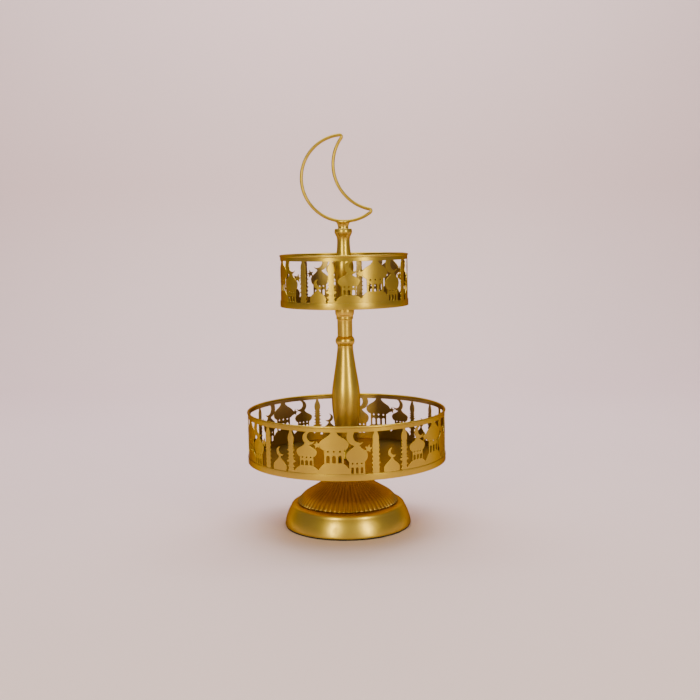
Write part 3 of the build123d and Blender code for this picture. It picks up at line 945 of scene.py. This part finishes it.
class CAKESTAND_OT_trays(bpy.types.Operator):
    """Trays: floor, plain hoop, pierced gallery and rolled edge of both tiers"""

    bl_idname = "cakestand.trays"
    bl_label = "Trays"

    def execute(self, context):
        sizes, finish = context.scene.cakestand_sizes, context.scene.cakestand_finish
        # Gold for the floors, with painted shade on their upward faces.
        plate = finish_of("satin_gold_plate", satin_gold, finish, True, 0, "upper")
        rolled = finish_of("satin_gold_rolled", satin_gold, finish, False)
        # Gold for the hoops and galleries, with painted shade on their inner faces.
        shaded_inside = finish_of("satin_gold_shaded_inside", satin_gold, finish, False, 0, "inner")
        trays = (("lower_tray", sizes.lower_phase, sizes.lower_seam),
                 ("upper_tray", sizes.upper_phase, sizes.upper_seam))
        for body, phase, seam in trays:
            pieces = {
                "floor": dress(self.floor(body), plate),
                "base_hoop": dress(self.hoop(body, sizes), shaded_inside),
                "band": dress(self.gallery(body, sizes, phase, seam), shaded_inside),
                "rim": dress(self.rolled_edge(body, sizes), rolled),
            }
            for node, piece in pieces.items():
                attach(piece, body)
                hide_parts(f"{body}_{node}")
        return {"FINISHED"}

    def floor(self, body):
        """Floor with a hole for the screw and a soft edge."""
        z0, z1, r = box_of(body + "_floor")
        rings = [r * share for share in (0.2, 0.4, 0.6, 0.8, 0.95)]
        outline = [(3.3, z1), (3.3, z0), *[(ring, z0) for ring in rings], (r - 0.3, z0), (r, z0 + 0.3),
                   (r, z1 - 0.2), (r - 0.2, z1), *[(ring, z1) for ring in reversed(rings)]]
        return revolve(body + "_plate", outline, 192)

    def hoop(self, body, sizes):
        """Plain hoop, with its top edge rounded over the strip."""
        z0, z1, r = box_of(body + "_base_hoop")
        t = sizes.hoop_sheet / MM
        corners = [(r - t, z0), (r, z0), (r, z1), (r - t, z1)]
        return revolve(body + "_hoop", rounded(corners, 0.32), 256)

    def gallery(self, body, sizes, phase, seam):
        """Pierced strip between its two ends at the seam."""
        z_base = foot_of(body + "_base_hoop") + sizes.hoop_height
        outer_r = radius_of(body + "_band") / MM
        middle_r = outer_r - sizes.sheet / MM / 2
        gap = 0.25
        start = (seam - 2 * pi - phase) * middle_r + gap / 2
        end = (seam - phase) * middle_r - gap / 2
        bottom = (foot_of(body + "_band") - z_base) / MM
        top = (top_of(body + "_band") - z_base) / MM
        shapes = strip_shapes(sizes, start, end, bottom, top)
        return bent_strip(body + "_gallery", shapes, outer_r, sizes.sheet / MM, phase,
                          z_base / MM, sizes.edge_round / MM)

    def rolled_edge(self, body, sizes):
        """Round edge with a slot over the top of the strip."""
        r = radius_of(body + "_band") / MM
        wire, half = sizes.rim_wire / MM, sizes.sheet / MM / 2
        z = top_of(body + "_rim") / MM - wire
        slot = atan2(-wire, half)
        steps = 30
        sweep = 2 * pi - 2 * (pi / 2 + slot)
        edge = arc(r - half, z, wire, slot, sweep * (steps + 1) / steps, steps + 1)
        points = [*edge, (r - 2 * half, z), (r, z)]
        return revolve(body + "_edge", points, 256, sharp=50.0)


# ---- finial ----
class CAKESTAND_OT_finial(bpy.types.Operator):
    """Finial: flared socket and bent wire crescent"""

    bl_idname = "cakestand.finial"
    bl_label = "Finial"

    def execute(self, context):
        sizes, finish = context.scene.cakestand_sizes, context.scene.cakestand_finish
        turned = finish_of("satin_gold_turned", satin_gold, finish)
        drawn = finish_of("satin_gold_rolled", satin_gold, finish, False)
        wire = dress(self.wire(sizes), drawn)
        socket = dress(self.socket(), turned)
        for piece, node in ((wire, "crescent_wire"), (socket, "finial_ferrule")):
            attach(piece, "finial")
            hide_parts(node)
        return {"FINISHED"}

    def socket(self):
        """Flared socket with a soft lip and a fillet of braze under the wire."""
        z0, z1, r = box_of("finial_ferrule")
        flare = arc_through((6.6, z0 + 0.3), (7.3, z0 + 5.0), (r, z1 - 0.9), 14)
        outline = [(3.0, z0), (6.2, z0), *flare, (r - 0.1, z1 - 0.4), (r - 0.6, z1),
                   (r * 0.6, z1 - 0.25), (0.0, z1 - 0.4), (0.0, z0 + 4.2), (3.0, z0 + 4.2)]
        return revolve("finial_socket", outline, 96)

    def wire(self, sizes):
        """Bent wire: a round section carried along two arcs and two tight tips."""
        return swept_ring("crescent_loop", crescent_outline(sizes), sizes.wire_radius)


def crescent_outline(sizes):
    """Points of the wire's middle line, as (x, z) in metres, anticlockwise seen from the front."""
    low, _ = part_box("crescent_wire")
    outer_r, bite_r, shift, bend = (sizes.crescent_radius, sizes.bite_radius,
                                    sizes.bite_shift, sizes.tip_bend)
    near, far = outer_r - bend, bite_r + bend
    reach = acos((near ** 2 + shift ** 2 - far ** 2) / (2 * near * shift))
    tip = Vector((near * cos(reach), near * sin(reach)))
    bite_angle = atan2(tip.y, tip.x - shift)
    points = (arc(0, 0, outer_r, reach, 2 * pi - 2 * reach, 96)
              + arc(tip.x, -tip.y, bend, -reach, shortest_turn(-reach, pi - bite_angle), 10)
              + arc(shift, 0, bite_r, -bite_angle, 2 * bite_angle - 2 * pi, 72)
              + arc(tip.x, tip.y, bend, bite_angle - pi, shortest_turn(bite_angle - pi, reach), 10))
    centre = Vector((low.x + sizes.wire_radius + outer_r, low.z + sizes.wire_radius + outer_r))
    c, s = cos(sizes.opening_angle), sin(sizes.opening_angle)
    return [(centre.x + c * x - s * y, centre.y + s * x + c * y) for x, y in points]


def swept_ring(name, outline, radius, sides=20):
    """Round wire along a closed (x, z) line in the XZ plane."""
    rows = []
    for before, here, after in zip(outline[-1:] + outline[:-1], outline, outline[1:] + outline[:1]):
        along = (Vector(after) - Vector(before)).normalized()
        side, middle = Vector((along.y, 0, -along.x)), Vector((here[0], 0, here[1]))
        turns = [2 * pi * k / sides for k in range(sides)]
        rows.append([middle + side * (radius * cos(a)) + Vector((0, radius * sin(a), 0)) for a in turns])
    return ring_mesh(name, rows, 180.0)


# ---- inner hardware ----
class CAKESTAND_OT_hardware(bpy.types.Operator):
    """Finishes of the screws, studs, bushes, washers and ballast that the frame already holds"""

    bl_idname = "cakestand.hardware"
    bl_label = "Hardware"

    def execute(self, context):
        finish = context.scene.cakestand_finish
        makers = {"plain_steel": ("zinc_steel", zinc_steel), "clear_nylon": ("clear_nylon", clear_nylon),
                  "bush_brass": ("machined_brass", machined_brass)}
        slots = {part["node"]: part["material_slot"] for part in frame["record"]["subparts"]}
        for name, node in frame["nodes"].items():
            if slots[name] not in makers:
                continue
            material = finish_of(*makers[slots[name]], finish)
            node.data.materials.clear()
            node.data.materials.append(material)
        return {"FINISHED"}


# ---- stage ----
class CAKESTAND_OT_stage(bpy.types.Operator):
    """Floor, backdrop, lights and camera"""

    bl_idname = "cakestand.stage"
    bl_label = "Stage"

    def execute(self, context):
        stage = context.scene.cakestand_stage
        self.sweep(stage)
        self.camera(context, stage)
        self.lights(stage)
        self.surroundings(context)
        return {"FINISHED"}

    def sweep(self, stage):
        """Floor that curves up into a backdrop."""
        front, back, bend, top, half = -1.6, 1.1, 0.5, 2.0, 2.4
        profile = [(front, 0.0), *arc(back, bend, bend, -pi / 2, pi / 2, 16), (back + bend, bend),
                   (back + bend, top)]
        vertices = [(x, y, z) for y, z in profile for x in (-half, half)]
        faces = [(2 * i, 2 * i + 1, 2 * i + 3, 2 * i + 2) for i in range(len(profile) - 1)]
        mesh = bpy.data.meshes.new("studio_sweep")
        mesh.from_pydata(vertices, [], faces)
        mesh.shade_smooth()
        floor = new_object("studio_sweep", mesh)
        floor.data.materials.append(finish_of("matt_paint", matt_paint, tuple(stage.floor)))

    def camera(self, context, stage):
        data = bpy.data.cameras.new("stand_camera")
        data.lens, data.sensor_width = stage.lens, 36.0
        camera = bpy.data.objects.new("stand_camera", data)
        turn = Matrix.Rotation(-stage.camera_turn, 4, "Z")
        tilt = Matrix.Rotation(pi / 2 - stage.camera_down, 4, "X")
        roll = Matrix.Rotation(stage.camera_roll, 4, "Z")
        place = Matrix.Translation((0, -stage.camera_distance, stage.camera_height))
        camera.matrix_world = place @ turn @ tilt @ roll
        context.scene.collection.objects.link(camera)
        context.scene.camera = camera

    def lights(self, stage):
        """Two tall lights in front, and broad ones behind the camera, overhead and on the backdrop."""
        away, height, middle = 1.7, 0.62, Vector((0, 0, 0.25))
        for name, side in (("left", radians(-27)), ("right", radians(35))):
            place = Vector((away * sin(side), -away * cos(side), height))
            self.area(f"tall_light_{name}", place, middle, (0.14, 0.9), stage.key, (1.0, 0.91, 0.40))
        self.area("front_light", Vector((0, -2.6, 1.1)), middle, (2.6, 1.6), stage.front,
                  (1.0, 0.94, 0.72))
        self.area("overhead_light", Vector((0, 0.1, 1.9)), Vector((0, 0.1, 0)), (2.2, 1.8),
                  stage.fill, (1.0, 0.98, 0.98))
        self.area("backdrop_light", Vector((0, 0.55, 2.0)), Vector((0, 1.6, 0.6)), (2.2, 0.5),
                  stage.fill, (1.0, 0.97, 0.97))

    def area(self, name, place, target, size, power, colour):
        data = bpy.data.lights.new(name, "AREA")
        data.shape = "RECTANGLE"
        data.size, data.size_y = size
        data.energy, data.color = power, colour
        light = bpy.data.objects.new(name, data)
        light.location = place
        light.visible_camera = False
        light.rotation_euler = (target - place).to_track_quat("-Z", "Y").to_euler()
        bpy.context.scene.collection.objects.link(light)

    def surroundings(self, context):
        """Soft room light."""
        world = bpy.data.worlds.new("studio_air")
        world.use_nodes = True
        background = world.node_tree.nodes["Background"]
        background.inputs["Color"].default_value = rgba(context.scene.cakestand_stage.air)
        background.inputs["Strength"].default_value = context.scene.cakestand_stage.air_strength
        context.scene.world = world


# ---- panel and start ----
class CAKESTAND_PT_panel(bpy.types.Panel):
    """Sizes, finishes and steps of the cake stand"""

    bl_label = "Cake stand"
    bl_idname = "CAKESTAND_PT_panel"
    bl_space_type = "VIEW_3D"
    bl_region_type = "UI"
    bl_category = "Cake stand"

    def draw(self, context):
        layout = self.layout
        for operator in STEPS:
            layout.operator(operator.bl_idname)
        for group in (context.scene.cakestand_sizes, context.scene.cakestand_finish,
                      context.scene.cakestand_stage):
            column = layout.column(align=True)
            for name in group.bl_rna.properties.keys():
                if name not in ("rna_type", "name"):
                    column.prop(group, name)


GROUPS = {"cakestand_sizes": CakeStandSizes, "cakestand_finish": CakeStandFinish,
          "cakestand_stage": CakeStandStage}
STEPS = (CAKESTAND_OT_foot, CAKESTAND_OT_columns, CAKESTAND_OT_trays, CAKESTAND_OT_finial,
         CAKESTAND_OT_hardware, CAKESTAND_OT_stage)


def register():
    for cls in (*GROUPS.values(), *STEPS, CAKESTAND_PT_panel):
        bpy.utils.register_class(cls)
    for name, group in GROUPS.items():
        setattr(bpy.types.Scene, name, bpy.props.PointerProperty(type=group))


def unregister():
    for name in GROUPS:
        delattr(bpy.types.Scene, name)
    for cls in reversed((*GROUPS.values(), *STEPS, CAKESTAND_PT_panel)):
        bpy.utils.unregister_class(cls)


def main():
    register()
    bpy.ops.cakestand.foot()
    bpy.ops.cakestand.columns()
    bpy.ops.cakestand.trays()
    bpy.ops.cakestand.finial()
    bpy.ops.cakestand.hardware()
    bpy.ops.cakestand.stage()


if __name__ == "__main__":
    main()
